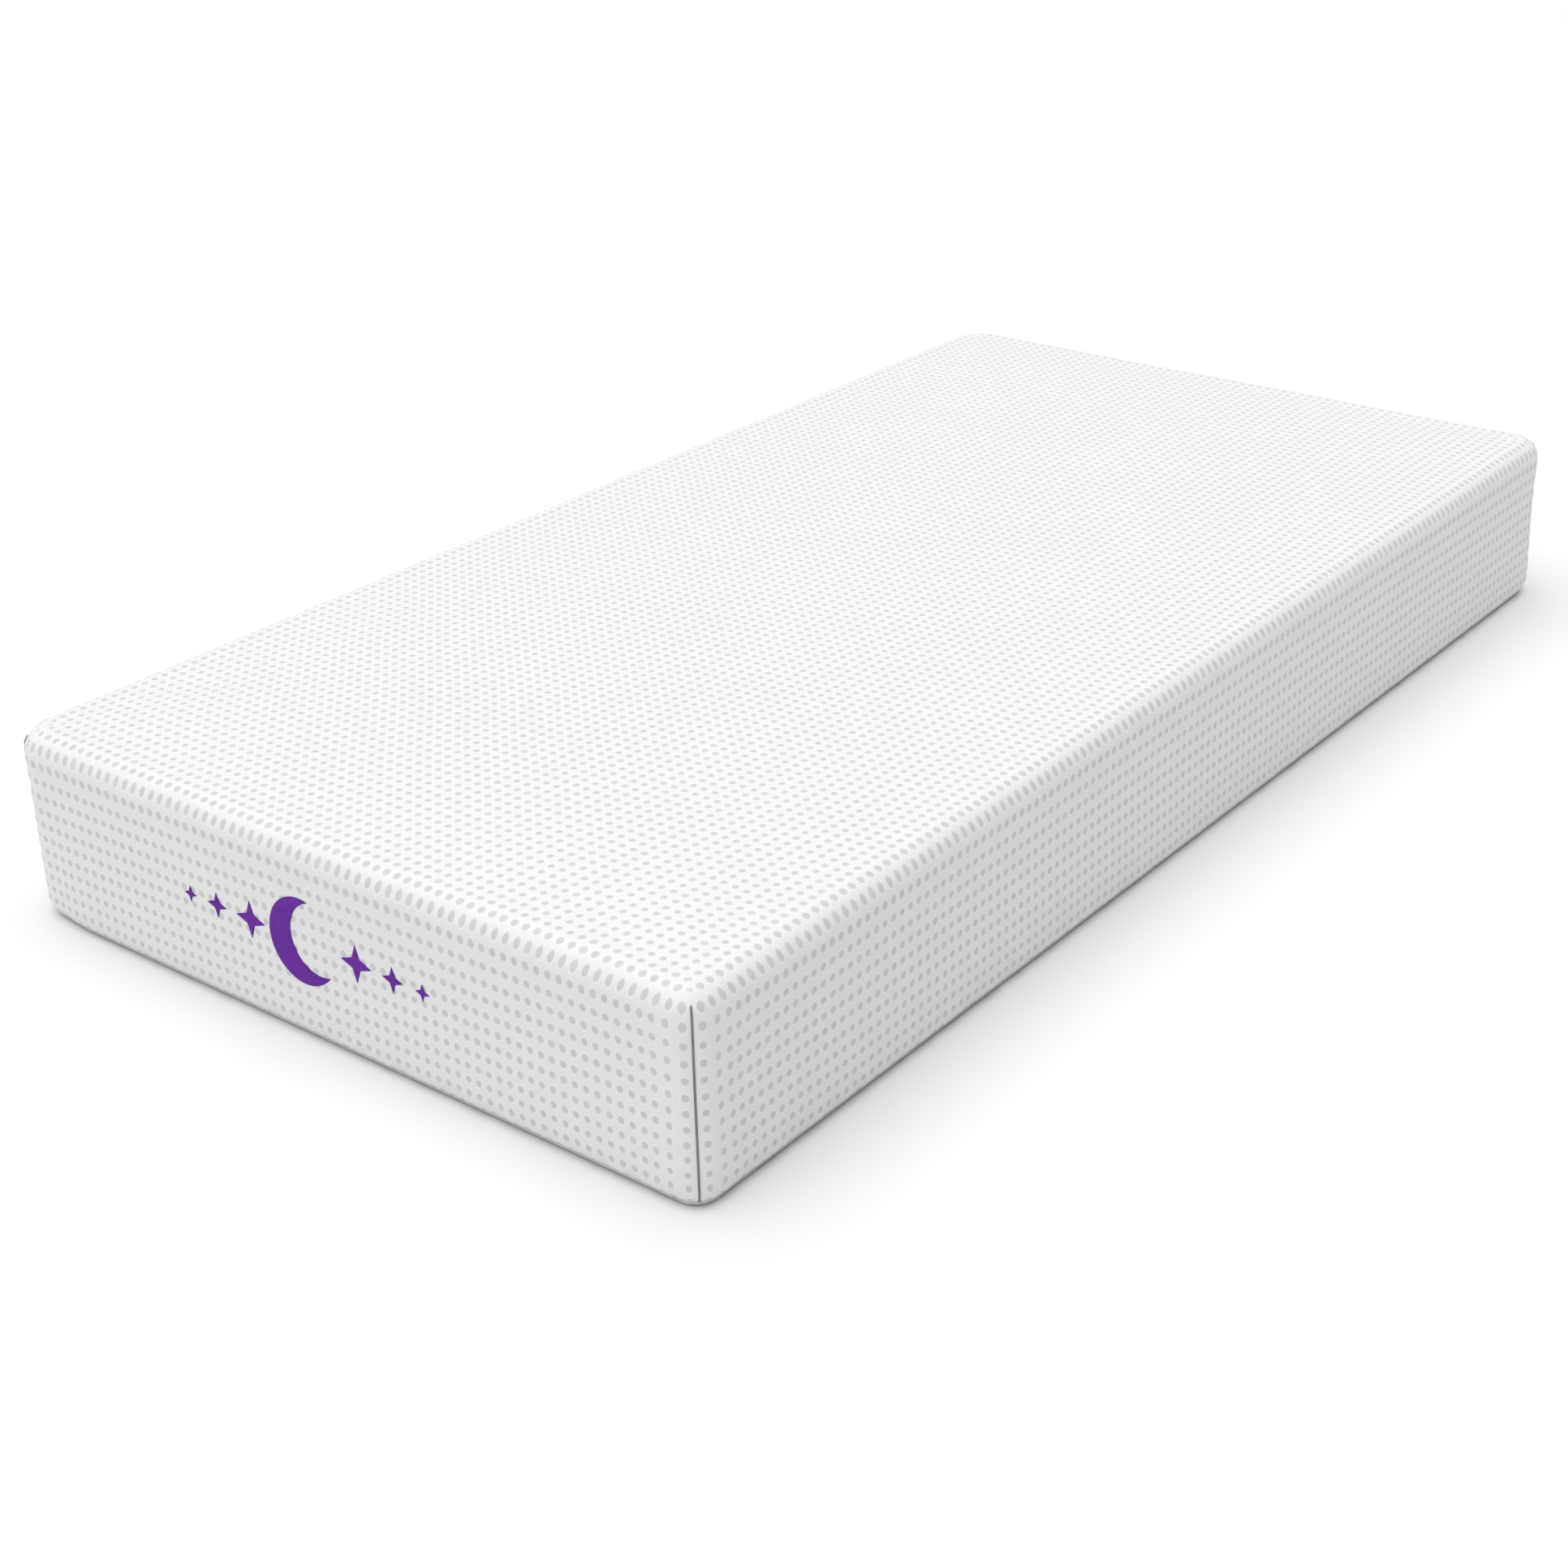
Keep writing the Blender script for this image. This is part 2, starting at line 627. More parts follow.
def makeCover():
    field = inflate()
    cloth = cutCross("knit_cover", cover["finer"])
    lattice = points(cloth)
    u = lattice[:, 0]
    v = lattice[:, 1]
    mapU, mapV, row, rowX, rowY, seamCells = dotMap(u, v)
    size, stepU, stepV = dotShape(u, v, row, rowX, rowY, seamCells)

    folded = foldDown(u, v)
    atZip, byZip = zipShares(folded)
    setPoints(cloth, folded)
    bpy.context.view_layer.update()
    outward = meshNormals(cloth)
    if outward[np.argmin(u * u + v * v), 2] < 0:
        outward = -outward
    puff = spread(field, u, v)
    inward = np.clip(-(puff * outward).sum(axis=1) - 0.0004, 0, None)
    puff = puff + outward * inward[:, None]  # it never sinks on to the foam

    awayU = mapU - np.floor(mapU) - 0.5
    awayV = mapV - np.floor(mapV) - 0.5
    bowl = 1 - smooth(0.12, 0.36, np.hypot(awayU * stepU, awayV * stepV))
    lift = creaseLift(folded, row, seamCells) * (1 - byZip) - zipWall["sink"] * atZip
    lift = lift - cover["dimple"] * bowl * smooth(0.1, 0.26, size)
    setPoints(cloth, folded + puff * (1 - byZip)[:, None] + outward * lift[:, None])

    markDots(cloth, mapU, mapV, size, stepU, stepV)
    sewUp(cloth)
    bpy.ops.object.mode_set(mode="EDIT")
    bpy.ops.mesh.select_all(action="DESELECT")
    bpy.ops.mesh.select_mode(type="EDGE")
    bpy.ops.mesh.select_non_manifold()
    bpy.ops.mesh.edge_face_add()
    leaveEdit()
    smoothBelow(50)
    print("cover made", len(cloth.data.polygons), "faces")
    return cloth


knitCover = makeCover()


def paintKnit():
    material, shader, place = startMaterial("cover_knit", roughness=0.9, sheen=0.15)
    where = place.node("ShaderNodeUVMap", {"uv_map": "dots"}, None)
    size = place.node("ShaderNodeAttribute", {"attribute_name": "dotSize"}, None, output=2)
    cell = where.node("ShaderNodeVectorMath", {"operation": "FRACTION"}, {0: where})
    cell = cell.node("ShaderNodeVectorMath", {"operation": "SUBTRACT"}, {0: cell, 1: (0.5, 0.5, 0)})
    step = place.node("ShaderNodeAttribute", {"attribute_name": "dotStep"}, None, output=1)
    cell = cell.node("ShaderNodeVectorMath", {"operation": "MULTIPLY"}, {0: cell, 1: step})
    away = cell.node("ShaderNodeVectorMath", {"operation": "LENGTH"}, {0: cell}, output=1)
    which = where.node("ShaderNodeVectorMath", {"operation": "FLOOR"}, {0: where})
    chance = which.node("ShaderNodeTexWhiteNoise", {"noise_dimensions": "2D"}, {0: which})
    radius = size * (0.95 + 0.1 * chance)
    ragged = away + 0.03 * (grain(where, 6.0, 1.0) - 0.5)
    dot = 1 - between(ragged, radius - 0.05, radius + 0.045)
    shown = between(size, 0.1, 0.2)
    dot = dot * shown
    rim = shown * between(ragged, radius, radius + 0.07) * (1 - between(ragged, radius + 0.07, radius + 0.19))
    threads = grain(where, 70.0, 1.0)
    cloud = grain(place, 9.0)
    base = tint(cloud * 0.6 + threads * 0.4, (0.845, 0.845, 0.848), (0.885, 0.885, 0.887))
    grey = tint(chance * 0.6 + threads * 0.4, (0.63, 0.63, 0.634), (0.698, 0.698, 0.7))
    colour = base.node("ShaderNodeMix", {"data_type": "RGBA"}, {0: dot, 6: base, 7: grey}, output=2)
    colour = colour.node(
        "ShaderNodeMix", {"data_type": "RGBA"}, {0: rim * 0.35, 6: colour, 7: (0.95, 0.95, 0.95, 1)}, output=2
    )
    plug(shader, "Base Color", colour)
    plug(shader, "Roughness", 0.82 + 0.1 * dot)
    ribs = where.node(
        "ShaderNodeTexWave", {"wave_type": "BANDS", "bands_direction": "X"},
        {"Vector": where, "Scale": 3.2, "Distortion": 0.6, "Detail": 1.0},
    )
    bump(shader, ribs * 0.3 + threads * 0.5 + rim * 0.8 - dot * 0.6, 0.35, 0.0006)
    return material


finishPiece(knitCover, paintKnit(), stands=("cover_top",))
coverTree = BVHTree.FromObject(knitCover, bpy.context.evaluated_depsgraph_get())
print("cover painted")


def onCover(origin, direction):  # where a line from outside meets the cover
    hit = coverTree.ray_cast(Vector(origin), Vector(direction).normalized())
    return hit[0] if hit[0] is not None else Vector(origin)


# cloth finishes shared by the small pieces
def paintCloth(name, low, high, pitch, roughness=0.85, sheen=0.2, depth=0.0003, coat=0.0):  # a plain weave
    material, shader, place = startMaterial(name, roughness=roughness, sheen=sheen, coat=coat)
    x, y, z = split(place)
    turns = 2 * math.pi / pitch
    weave = ((x + y) * turns).sum("SINE", (x + y) * turns)
    cross = z.sum("SINE", (z + 0.37 * x - 0.37 * y) * turns)
    crossed = weave * cross
    fuzz = grain(place, 900.0, 1.0)
    cloud = grain(place, 30.0)
    shade = between(crossed * 0.25 + 0.5 * fuzz + 0.5 * cloud - 0.15, 0.0, 0.8)
    plug(shader, "Base Color", tint(shade, low, high))
    plug(shader, "Roughness", roughness - 0.1 + 0.2 * fuzz)
    bump(shader, crossed * 0.5 + fuzz * 0.6, 0.5, depth)
    return material


seamThread = paintCloth("seam_thread", (0.17, 0.17, 0.175), (0.3, 0.3, 0.31), 0.0012, sheen=0.1)
bindingCloth = paintCloth("binding_tape", (0.7, 0.7, 0.705), (0.84, 0.84, 0.845), 0.0016)
whiteThread = paintCloth(
    "white_thread", (0.76, 0.76, 0.765), (0.88, 0.88, 0.885), 0.0008, roughness=0.6, sheen=0.3
)
baseCloth = paintCloth("base_cloth", (0.68, 0.68, 0.69), (0.82, 0.82, 0.825), 0.0024)


# helpers that build small sewn things
def strand(places, radius, name, closed=False):  # a round thread or piping through the places
    curve = bpy.data.curves.new(name, "CURVE")
    curve.dimensions = "3D"
    curve.bevel_depth = radius
    curve.bevel_resolution = 2
    curve.use_fill_caps = not closed
    line = curve.splines.new("POLY")
    line.points.add(len(places) - 1)
    line.points.foreach_set("co", np.column_stack((places, np.ones(len(places)))).ravel())
    line.use_cyclic_u = closed
    pick(placed(name, curve))
    bpy.ops.object.convert(target="MESH")
    thing = newest(name)
    editAll(thing)
    bpy.ops.mesh.remove_doubles(threshold=0.00001)
    bpy.ops.mesh.normals_make_consistent(inside=False)
    leaveEdit()
    bpy.ops.object.shade_smooth()
    return thing


def repeat(unit, matrices, name):  # many copies of one small modelled piece as one mesh, and the unit goes
    places = points(unit)
    faces = [list(face.vertices) for face in unit.data.polygons]
    count = len(places)
    everything = np.concatenate(
        [places @ np.array(matrix.to_3x3()).T + np.array(matrix.translation) for matrix in matrices]
    )
    allFaces = [
        [index + count * copy for index in face] for copy in range(len(matrices)) for face in faces
    ]
    mesh = bpy.data.meshes.new(name)
    mesh.from_pydata(everything.tolist(), [], allFaces)
    thing = placed(name, mesh)
    bpy.data.objects.remove(unit)
    pick(thing)
    bpy.ops.object.shade_smooth()
    return thing


def stitch(length, radius):  # one thread stitch lying along x
    bpy.ops.mesh.primitive_uv_sphere_add(segments=6, ring_count=5, radius=1)
    thing = newest("stitch")
    thing.rotation_euler = (0, math.pi / 2, 0)
    settle(thing)
    thing.scale = (length / 2, radius, radius)
    settle(thing)
    return thing


def facing(place, along, out):  # a matrix whose x runs along and whose z looks out
    along = Vector(along).normalized()
    out = (Vector(out) - Vector(out).dot(along) * along).normalized()
    side = out.cross(along)
    return Matrix.Translation(place) @ Matrix((along, side, out)).transposed().to_4x4()


# upright seams
cornerSeam = {
    "top": 0.12, "bottom": 12.15, "radius": 0.0012, "lift": 0.0002,  # top and bottom in cells of the knit
    "stitch": 0.0032, "every": 0.0034, "thread": 0.00036, "slant": 0.55, "proud": 0.0009,
}


def makeCornerSeam(name, sideX, sideY):
    rows = np.linspace(cornerSeam["top"], cornerSeam["bottom"], 80)
    path = foldDown(sideX * (cover["across"] / 2 + rows), sideY * (rows * 0 + cover["along"] / 2))
    out = Vector((sideX, sideY, 0)).normalized()
    upward = Vector((0, 0, 1))
    laid = []
    for place, row in zip(path, rows):
        lean = upward * max(0.0, 1 - row) * 0.8
        laid.append(onCover(Vector(place) + (out + lean) * 0.03, -(out + lean)) + out * cornerSeam["lift"])
    core = strand(np.array(laid), cornerSeam["radius"], name + "_core")
    lengths = np.cumsum([0] + [(b - a).length for a, b in zip(laid, laid[1:])])
    matrices = []
    for index, run in enumerate(np.arange(0.002, lengths[-1] - 0.001, cornerSeam["every"])):
        at = int(np.searchsorted(lengths, run)) - 1
        along = (laid[at + 1] - laid[at]).normalized()
        place = laid[at] + along * (run - lengths[at]) + out * cornerSeam["proud"]
        side = along.cross(out)
        tilt = along + side * (cornerSeam["slant"] if index % 2 else -cornerSeam["slant"])
        matrices.append(facing(place, tilt, out))
    threads = repeat(stitch(cornerSeam["stitch"], cornerSeam["thread"]), matrices, name + "_stitches")
    seam = joined([core, threads], name.replace("corner", "upright"))
    finishPiece(seam, seamThread, stands=(name,))


for seamName, sideX, sideY in (
    ("corner_seam_foot_right", 1, -1),
    ("corner_seam_foot_left", -1, -1),
    ("corner_seam_head_right", 1, 1),
    ("corner_seam_head_left", -1, 1),
):
    makeCornerSeam(seamName, sideX, sideY)
print("upright seams sewn")


# binding and base
binding = {
    "level": 0.0046, "radius": 0.0015, "stand": -0.0002, "corner": 0.057, "straight": 0.062, "step": 0.02,
    "every": 0.0048, "stitch": 0.0026, "thread": 0.0003, "slant": 0.5,
}


def ringAt(level, inset, step):  # a level line round the cover, as places and outward directions
    far = []
    for reach in (half.x, half.y):
        turn = np.linspace(0, binding["corner"], 20)
        middle = np.arange(-reach + binding["straight"], reach - binding["straight"], step)
        far.append(np.concatenate((-reach + turn[:-1], middle, reach - turn[::-1])))
    x, y = far
    square = [(half.x + y * 0, y), (-x, half.y + x * 0), (-half.x + y * 0, -y), (x, -half.y + x * 0)]
    acrossAll = np.concatenate([side[0] for side in square])
    alongAll = np.concatenate([side[1] for side in square])
    depth = height - level + acrossAll * 0
    inner = rounded(acrossAll, alongAll, depth, inset + 0.001)
    outer = rounded(acrossAll, alongAll, depth, inset)
    keep = np.linalg.norm(outer - np.roll(outer, 1, axis=0), axis=1) > 0.0004
    return outer[keep], (outer - inner)[keep] * 1000


def makeBinding():
    ring, out = ringAt(binding["level"], -binding["stand"], binding["step"])
    lip = strand(ring, binding["radius"], "hem_binding", closed=True)
    finishPiece(lip, bindingCloth, stands=("seam_binding",))

    gaps = np.linalg.norm(np.roll(ring, -1, axis=0) - ring, axis=1)
    lengths = np.concatenate(([0], np.cumsum(gaps)))
    matrices = []
    for run in np.arange(0, lengths[-1] - binding["every"] / 2, binding["every"]):
        at = int(np.searchsorted(lengths, run, side="right")) - 1
        start = Vector(ring[at])
        along = (Vector(ring[(at + 1) % len(ring)]) - start).normalized()
        place = start + along * (run - lengths[at]) + Vector(out[at]) * binding["radius"] * 0.95
        matrices.append(facing(place, Vector((0, 0, 1)) + along * binding["slant"], out[at]))
    threads = repeat(stitch(binding["stitch"], binding["thread"]), matrices, "hem_stitches")
    finishPiece(threads, whiteThread)


makeBinding()
panel = {
    "top": 0.0042, "thick": 0.001, "cell": 0.016, "border": 0.006, "quilt": 0.064, "swell": 0.0012,
    "clear": 0.00002,  # off the floor
}


def makeBase():
    radius = cover["footRadius"]
    rim = radius - math.sqrt(radius**2 - (radius - panel["top"]) ** 2)
    rows = np.concatenate((np.linspace(rim, radius, 7), [radius + panel["border"]]))
    lines = []
    for reach in (half.x, half.y):
        inner = reach - rows[-1]
        middle = np.linspace(-inner, inner, int(inner * 2 / panel["cell"]))
        lines.append(np.concatenate((rows[:-1] - reach, middle, reach - rows[:-1][::-1])))
    cellsX, cellsY = len(lines[0]) - 1, len(lines[1]) - 1
    base = addGrid("base_panel", cellsX, cellsY, size=2)
    grid = points(base)
    x = lines[0][np.rint((grid[:, 0] + 1) / 2 * cellsX).astype(int)]
    y = lines[1][np.rint((grid[:, 1] + 1) / 2 * cellsY).astype(int)]
    inset = np.minimum(half.x - np.abs(x), half.y - np.abs(y))
    left = np.clip(radius - inset, 0, radius)
    level = np.maximum(radius - np.sqrt(radius**2 - left**2), panel["clear"])
    away = smooth(0.02, 0.05, inset)
    quilt = np.abs(np.sin(x * math.pi / panel["quilt"]) * np.sin(y * math.pi / panel["quilt"])) * away
    places = rounded(x, y, height - level, 0, foot=0)
    places[:, 2] = level + panel["swell"] * (1 - quilt) * away
    setPoints(base, places)
    editAll(base)
    bpy.ops.mesh.normals_make_consistent(inside=False)
    leaveEdit()
    if meshNormals(base)[np.argmin(x * x + y * y), 2] > 0:
        flipAll(base)
    thicken(base, panel["thick"], degrees=50)
    finishPiece(base, baseCloth, stands=("cover_bottom",))


makeBase()
print("binding and base done")


# moon and stars printed on the foot
emblemPrint = {"cut": 0.0036, "probe": 0.0025, "thick": 0.0007, "proud": 0.0004, "weave": 0.0011}


def makeEmblem():
    emblem = placed("moon_and_stars", bpy.data.meshes.new_from_object(nodes["front_emblem"]))
    editAll(emblem)
    bpy.ops.mesh.remove_doubles(threshold=0.00001)
    leaveEdit()
    editFaces(emblem, lambda face: face.normal.y > -0.9)
    bpy.ops.mesh.delete(type="FACE")
    bpy.ops.mesh.select_all(action="SELECT")
    bpy.ops.mesh.dissolve_limited(angle_limit=0.02)
    low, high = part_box("front_emblem")
    step = emblemPrint["cut"]
    for axis in (0, 2):
        direction = (1, 0, 0) if axis == 0 else (0, 0, 1)
        for cut in np.arange(low[axis] + step / 2, high[axis], step):
            bpy.ops.mesh.select_all(action="SELECT")
            bpy.ops.mesh.bisect(plane_co=Vector(direction) * cut, plane_no=direction)
    bpy.ops.mesh.select_all(action="SELECT")
    bpy.ops.mesh.quads_convert_to_tris()
    leaveEdit()
    places = points(emblem)
    probes = (-emblemPrint["probe"], 0, emblemPrint["probe"])
    for index, place in enumerate(places):
        near = [
            onCover((place[0] + dx, low.y - 0.05, place[2] + dz), (0, 1, 0)).y
            for dx in probes
            for dz in probes
        ]
        places[index, 1] = min(near) * 0.6 + sum(near) / len(near) * 0.4 - emblemPrint["proud"]
    setPoints(emblem, places)
    thicken(emblem, emblemPrint["thick"])

    material, shader, place = startMaterial("emblem_print", roughness=0.6, sheen=0.0)
    shader.inputs["Specular IOR Level"].default_value = 0.15  # flat ink
    x, _, z = split(place)
    turns = 2 * math.pi / emblemPrint["weave"]
    weave = x.sum("SINE", x * turns) * z.sum("SINE", z * turns)
    cloud = grain(place, 60.0)
    ink = between(cloud * 0.8 + weave * 0.1, 0.2, 0.7)
    plug(shader, "Base Color", tint(ink, (0.13, 0.017, 0.32), (0.16, 0.026, 0.38)))
    plug(shader, "Roughness", 0.5 + 0.2 * cloud)
    bump(shader, weave * 0.5 + cloud, 0.3, 0.0002)
    finishPiece(emblem, material, stands=("front_emblem",))


makeEmblem()
print("emblem printed")


# zip on the hidden long side
zipper = {
    "low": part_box("zip_tape_lower")[0].z, "high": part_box("zip_tape_upper")[1].z, "welt": 0.0017,
    "toothEvery": 0.0016, "tooth": (0.0017, 0.0010, 0.0031), "toothBevel": 0.00034, "toothLean": 0.0001,
    "core": 0.0007, "coreBack": 0.0003, "tape": 0.0005, "tapeBack": 0.0003, "cord": 0.0004, "rib": 0.00025,
}


def makeWelts():
    ends = zipWall["ends"] - 0.001
    line = np.linspace(-ends, ends, 240)
    for name, level, side in (("zip_welt_lower", zipper["low"], -1), ("zip_welt_upper", zipper["high"], 1)):
        ripple = 0.00025 * np.sin(line * 170 + side)
        places = np.stack((line * 0 - half.x + 0.0002, line, level + side * 0.0004 + ripple), axis=1)
        finishPiece(strand(places, zipper["welt"], name), weltCloth)


def makeTeeth(name, shift, lean):  # one side of the coil; the two sides stand half a tooth apart
    low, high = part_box(name)
    middle = (low + high) / 2
    every = zipper["toothEvery"]
    bpy.ops.object.select_all(action="DESELECT")
    bpy.ops.mesh.primitive_cube_add(size=1)
    tooth = newest("tooth")
    tooth.scale = zipper["tooth"]
    settle(tooth)
    addModifier(tooth, "BEVEL", width=zipper["toothBevel"], segments=1)
    applyAll(tooth)
    count = int((high.y - low.y) / every)
    matrices = [
        Matrix.Translation((middle.x, low.y + (index + 0.25 + shift) * every, middle.z - lean))
        for index in range(count - 1)
    ]
    teethName = name.replace("zip_coil", "zip_teeth")
    teeth = repeat(tooth, matrices, teethName)
    pick(teeth)
    smoothBelow(30)
    line = np.linspace(low.y + 0.0005, high.y - 0.0005, 60)
    path = np.array([(middle.x + zipper["coreBack"], y, middle.z) for y in line])
    core = strand(path, zipper["core"], "coil_core")
    finishPiece(joined([teeth, core], teethName), coilPlastic, stands=(name,))


def makeTape(name):
    low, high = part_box(name)
    tape = addGrid(name.replace("zip_tape", "woven_tape"), 10, 300)
    grid = points(tape)
    across = grid[:, 0] + 0.5
    inner = 1 - across if name.endswith("upper") else across
    cord = zipper["cord"] * np.exp(-(((inner - 0.72) / 0.06) ** 2))
    rib = zipper["rib"] * np.exp(-(((inner - 0.6) / 0.05) ** 2))
    ripple = 0.00012 * np.sin(grid[:, 1] * 900 + inner * 5)
    x = low.x + zipper["tapeBack"] - (cord + rib) + ripple
    places = np.stack((x, grid[:, 1] * (high.y - low.y), low.z + across * (high.z - low.z)), axis=1)
    setPoints(tape, places)
    pick(tape)
    if meshNormals(tape)[0, 0] > 0:
        flipAll(tape)
    thicken(tape, zipper["tape"])
    finishPiece(tape, tapeCloth, stands=(name,))


weltCloth = paintCloth("cover_welt", (0.8, 0.8, 0.803), (0.88, 0.88, 0.882), 0.0014)
tapeCloth = paintCloth("zip_tape", (0.68, 0.68, 0.69), (0.84, 0.84, 0.845), 0.0009)
coilPlastic, coilShader, coilPlace = startMaterial("zip_coil", roughness=0.35, coat=0.1)
plug(coilShader, "Base Color", tint(grain(coilPlace, 400.0), (0.74, 0.74, 0.745), (0.86, 0.86, 0.865)))
plug(coilShader, "Roughness", 0.3 + 0.2 * grain(coilPlace, 900.0))
bump(coilShader, grain(coilPlace, 1500.0), 0.15, 0.0002)
makeWelts()
makeTeeth("zip_coil_lower", 0.0, -zipper["toothLean"])
makeTeeth("zip_coil_upper", 0.5, zipper["toothLean"])
makeTape("zip_tape_lower")
makeTape("zip_tape_upper")

endPatch = {
    "thick": 0.0009, "ridge": 0.00045, "swell": 0.0005, "hem": 0.0003,
    "stitch": 0.0021, "every": 0.0028, "thread": 0.0003,
}


def makePatch(name):  # a cloth square sewn over the end of the tapes
    low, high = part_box(name)
    middle = (low + high) / 2
    reach = high - low
    patch = addGrid(name.replace("zip_patch", "end_patch"), 24, 30)
    grid = points(patch)
    edge = np.minimum(0.5 - np.abs(grid[:, 0]), 0.5 - np.abs(grid[:, 1]))
    sewn = endPatch["ridge"] * np.exp(-(((edge - 0.1) / 0.03) ** 2))
    swell = endPatch["swell"] * smooth(0.1, 0.3, edge) - endPatch["hem"] * (edge < 0.01)
    places = (low.x - swell + sewn, middle.y + grid[:, 0] * reach.y, middle.z + grid[:, 1] * reach.z)
    setPoints(patch, np.stack(places, axis=1))
    pick(patch)
    if meshNormals(patch)[0, 0] > 0:
        flipAll(patch)
    thicken(patch, endPatch["thick"])
    wide = reach.y * 0.4
    tall = reach.z * 0.42
    turns = [(-wide, -tall), (wide, -tall), (wide, tall), (-wide, tall)]
    matrices = []
    for (fromY, fromZ), (toY, toZ) in zip(turns, turns[1:] + turns[:1]):
        run = Vector((0, toY - fromY, toZ - fromZ))
        count = round(run.length / endPatch["every"])
        start = Vector((low.x - 0.0001, middle.y + fromY, middle.z + fromZ))
        for index in range(count):
            matrices.append(facing(start + run * ((index + 0.5) / count), run, (-1, 0, 0)))
    threads = repeat(stitch(endPatch["stitch"], endPatch["thread"]), matrices, "patch_stitches")
    finishPiece(patch, baseCloth, stands=(name,))
    finishPiece(threads, whiteThread)
    threads.name = patch.name + "_stitches"


makePatch("zip_patch_foot")
makePatch("zip_patch_head")
print("zip sewn in")


# law tag on the head end
tag = {
    "stand": 0.0007, "curl": 0.004, "thick": 0.0004, "bend": 0.018,
    "stitch": 0.002, "every": 0.0026, "thread": 0.00022, "border": 0.0024,
    "hemStand": 0.0006, "hemThick": 0.0011, "hemBevel": 0.0003, "hemStitch": 0.0023, "hemEvery": 0.003,
    "hemThread": 0.0003,
}


def wallAt(x, z, start):  # the farthest the cover's head end stands out round a place
    around = (-0.003, 0, 0.003)
    return max(onCover((x + dx, start, z + dz), (0, -1, 0)).y for dx in around for dz in around)


def tagSheet(name, lowZ, highZ, cellsX, cellsZ, stand, curl):
    low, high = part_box("law_tag_flap")
    sheet = addGrid(name, cellsX, cellsZ)
    grid = points(sheet)
    x = (low.x + high.x) / 2 + grid[:, 0] * (high.x - low.x)
    z = (lowZ + highZ) / 2 + grid[:, 1] * (highZ - lowZ)
    hang = 0.5 - grid[:, 1]
    wall = np.array([wallAt(a, b, high.y + 0.05) for a, b in zip(x, z)])
    line = np.maximum(wall, np.interp(z, [lowZ, highZ], [wall[np.argmin(z)], wall[np.argmax(z)]]))
    wave = 0.0008 * np.sin(grid[:, 0] * 9 + hang * 3) * hang + curl * hang**2.5 * (1 + 0.5 * grid[:, 0])
    setPoints(sheet, np.stack((x, line + stand + wave, z), axis=1))
    pick(sheet)
    if meshNormals(sheet)[0, 1] < 0:
        flipAll(sheet)
    return sheet


def makeTag():
    low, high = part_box("law_tag_flap")
    flap = tagSheet("law_tag_sheet", low.z, high.z, 30, 48, tag["stand"], tag["curl"])
    sheetPoints = points(flap)

    def sewnAt(x, z, along):  # a stitch on the sheet's outside
        near = sheetPoints[np.argmin((sheetPoints[:, 0] - x) ** 2 + (sheetPoints[:, 2] - z) ** 2)]
        return facing((x, near[1] + tag["thick"] * 0.6, z), along, (0, 1, 0))

    edges = []
    for x in (low.x + tag["border"], high.x - tag["border"]):
        for z in np.arange(low.z + 0.003, high.z - 0.002, tag["every"]):
            edges.append(sewnAt(x, z, (0, 0.05, 1)))
    for x in np.arange(low.x + 0.004, high.x - 0.003, tag["every"]):
        edges.append(sewnAt(x, low.z + 0.0026, (1, 0, 0)))
    threads = repeat(stitch(tag["stitch"], tag["thread"]), edges, "law_tag_stitches")
    thicken(flap, tag["thick"], offset=0)
    finishPiece(flap, satin, body=None, stands=("law_tag_flap",))
    finishPiece(threads, whiteThread, body=None)
    for piece in (flap, threads):  # the cloth bends below its hem instead of turning on a line
        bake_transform(piece)


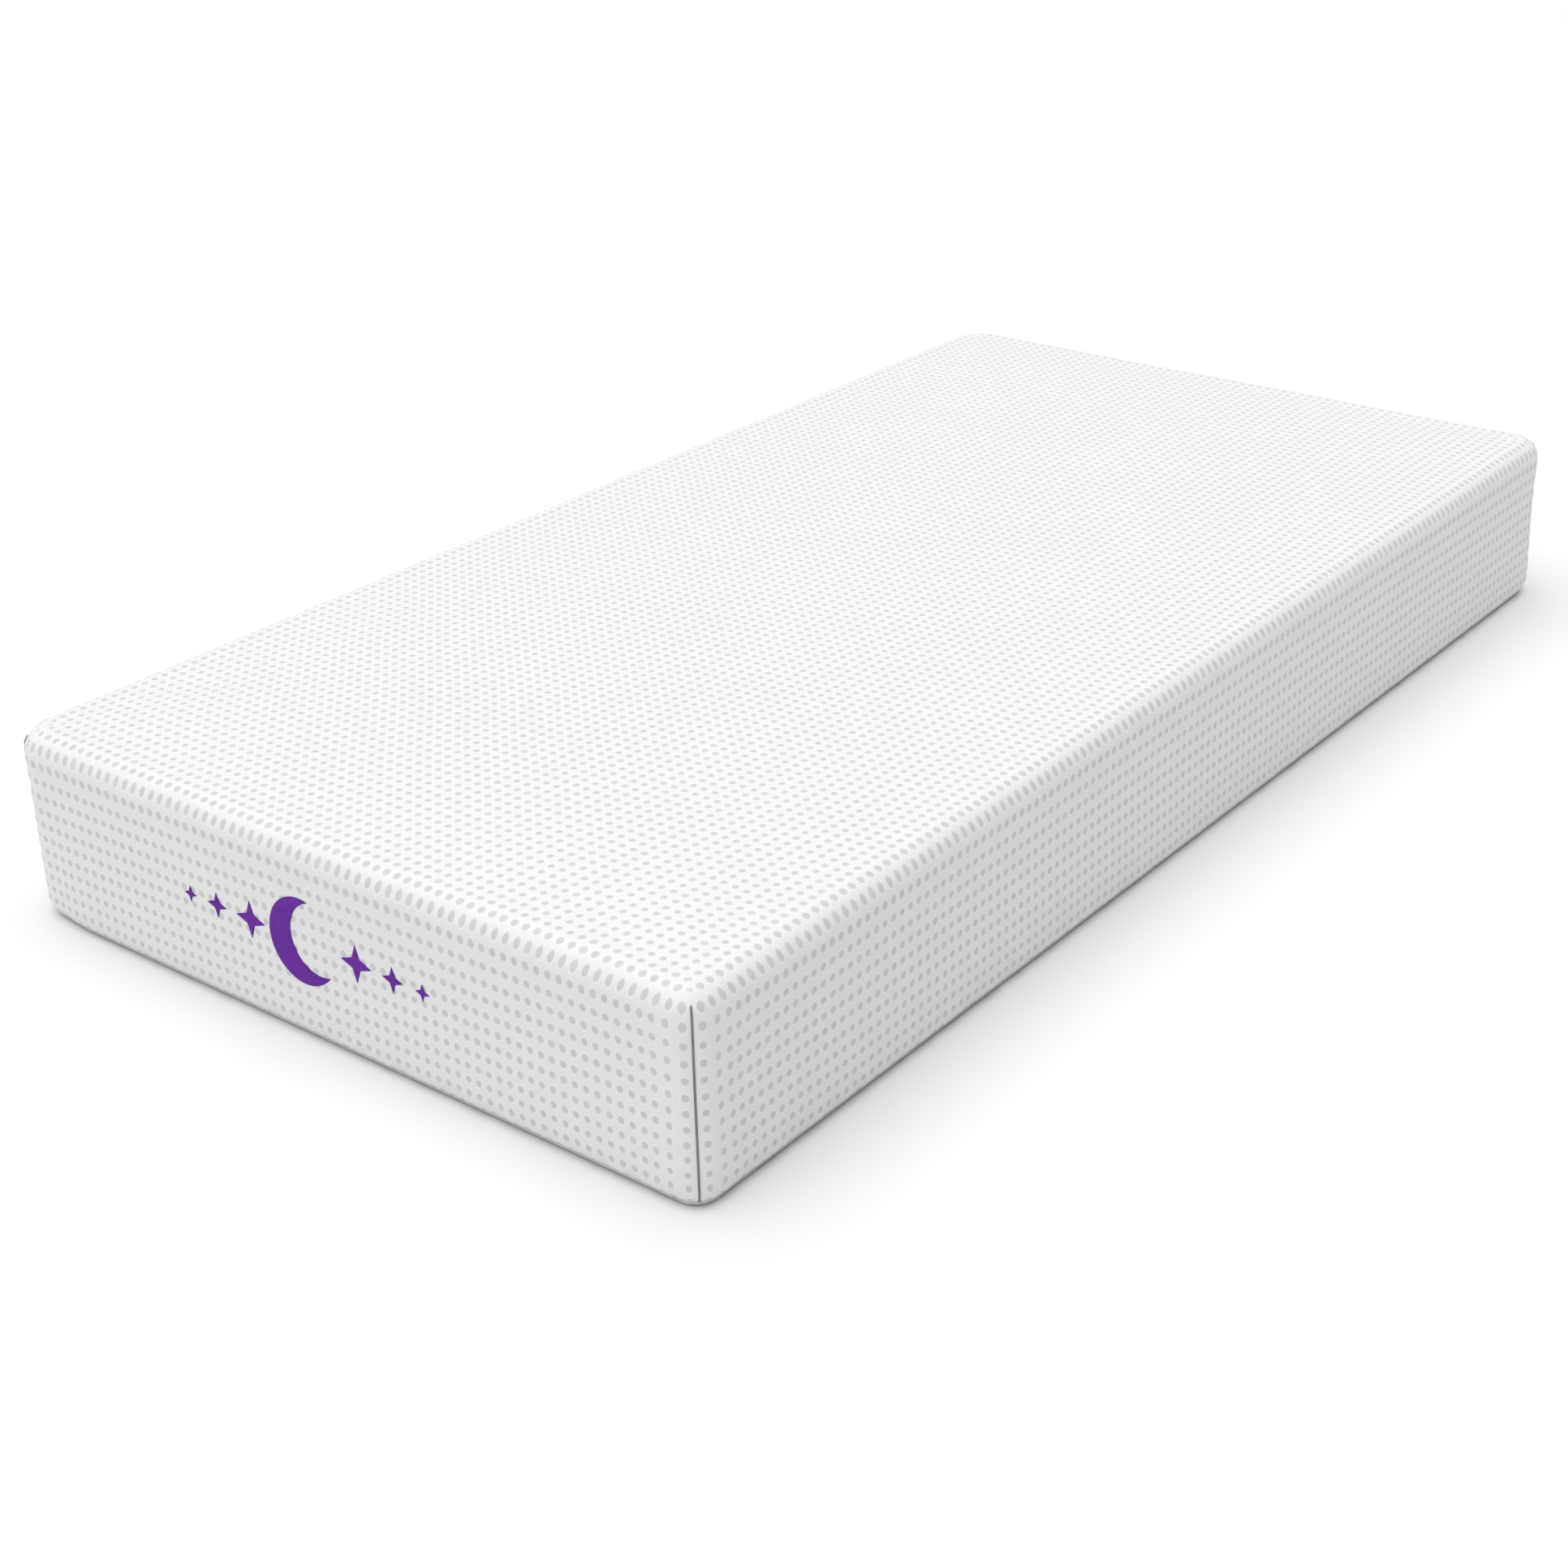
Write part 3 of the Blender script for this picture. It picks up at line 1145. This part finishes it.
def makeTagHem():
    low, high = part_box("law_tag_hem")
    hem = tagSheet("law_tag_top", low.z, high.z, 30, 4, tag["hemStand"], 0)
    addModifier(hem, "SOLIDIFY", thickness=tag["hemThick"], offset=-0.6)
    addModifier(hem, "BEVEL", width=tag["hemBevel"], segments=2)
    applyAll(hem)
    smoothBelow(60)
    hemPoints = points(hem)
    left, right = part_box("law_tag_flap")[0].x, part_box("law_tag_flap")[1].x
    rows = []
    for z in (low.z + 0.0022, high.z - 0.002):
        for x in np.arange(left + 0.003, right - 0.002, tag["hemEvery"]):
            near = hemPoints[np.abs(hemPoints[:, 0] - x) < 0.003][:, 1].max()
            rows.append(facing((x, near + 0.0001, z), (1, 0, 0), (0, 1, 0)))
    threads = repeat(stitch(tag["hemStitch"], tag["hemThread"]), rows, "law_tag_top_stitches")
    finishPiece(hem, satin, stands=("law_tag_hem",))
    finishPiece(threads, whiteThread)


satin = paintCloth(
    "label_cloth", (0.8, 0.8, 0.785), (0.9, 0.9, 0.885), 0.0006, roughness=0.45, sheen=0.35, depth=0.0001
)
makeTag()
makeTagHem()
print("law tag sewn on")


# finishes of the CAD parts that stay
def paintFoam(name, low, high):
    material, shader, place = startMaterial(name, roughness=0.95, sheen=0.1)
    pores = place.node("ShaderNodeTexVoronoi", None, {"Vector": place, "Scale": 700.0})
    cloud = grain(place, 14.0, 3.0)
    shade = between(cloud * 0.7 + pores * 0.6, 0.2, 0.9)
    plug(shader, "Base Color", tint(shade, low, high))
    plug(shader, "Roughness", 0.85 + 0.12 * pores)
    bump(shader, pores + cloud * 0.3, 0.6, 0.0005)
    return material


def paintMetal():
    material, shader, place = startMaterial("zip_metal", roughness=0.3, coat=0.4)
    worn = between(grain(place, 260.0, 4.0), 0.6, 0.72)
    plug(shader, "Base Color", tint(worn, (0.78, 0.78, 0.79), (0.6, 0.59, 0.57)))
    plug(shader, "Metallic", 0.15 + 0.8 * worn)
    plug(shader, "Roughness", 0.24 + 0.25 * grain(place, 700.0))
    bump(shader, grain(place, 500.0) - 0.5 * worn, 0.2, 0.0002)
    return material


sockKnit = paintCloth("sock_knit", (0.72, 0.72, 0.69), (0.86, 0.86, 0.84), 0.0018)
metal = paintMetal()
for material, members in (
    (metal, ("zip_slider", "zip_pull", "zip_stop_foot", "zip_stop_head")),
    (sockKnit, ("inner_sock", "sock_closure")),
    (paintFoam("memory_foam", (0.84, 0.8, 0.7), (0.93, 0.91, 0.85)), ("memory_foam",)),
    (paintFoam("comfort_foam", (0.62, 0.76, 0.85), (0.78, 0.87, 0.92)), ("transition_foam",)),
    (paintFoam("base_foam", (0.83, 0.83, 0.84), (0.93, 0.93, 0.94)), ("support_foam",)),
):
    for member in members:
        dress(nodes[member], material)
print("finishes done")
